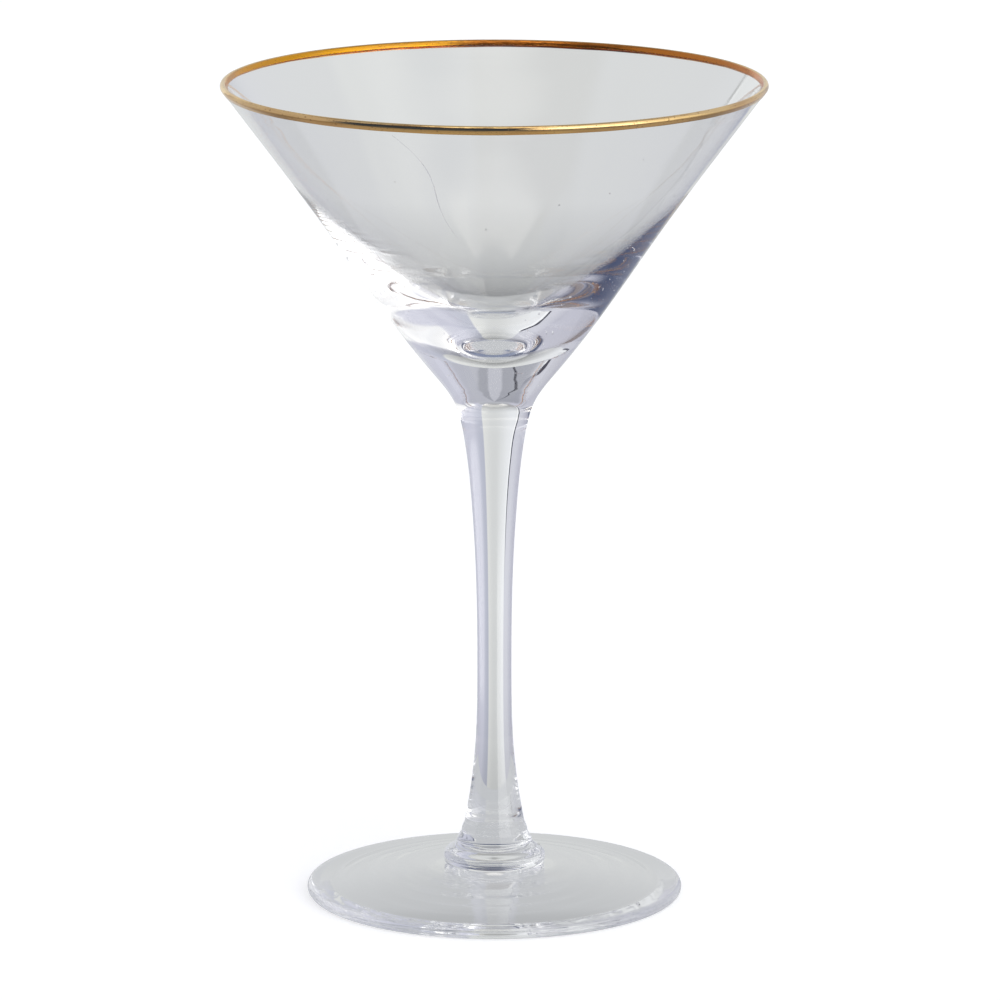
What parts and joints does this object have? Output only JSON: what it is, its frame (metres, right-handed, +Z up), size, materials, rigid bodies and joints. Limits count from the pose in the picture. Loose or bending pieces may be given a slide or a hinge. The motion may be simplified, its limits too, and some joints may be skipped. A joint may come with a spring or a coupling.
{
  "type": "martini glass",
  "caption": "Stemmed cocktail glass with a wide cone bowl, thick clear base, waisted stem, stepped collar, shallow cone foot and a gold lip band.",
  "frame": {"origin": "centre of the foot, on the surface that the glass stands on", "axes": "+Z up along the axis of the stem; the glass is turned about Z, so X and Y are alike"},
  "size_m": [0.12, 0.12, 0.183],
  "materials": {
    "clear_glass": "polished",
    "gold_band": "polished"
  },
  "bodies": {
    "root": {"bowl": "clear_glass", "gold_rim": "gold_band", "stem": "clear_glass", "foot_collar": "clear_glass", "foot": "clear_glass"}
  },
  "joints": []
}
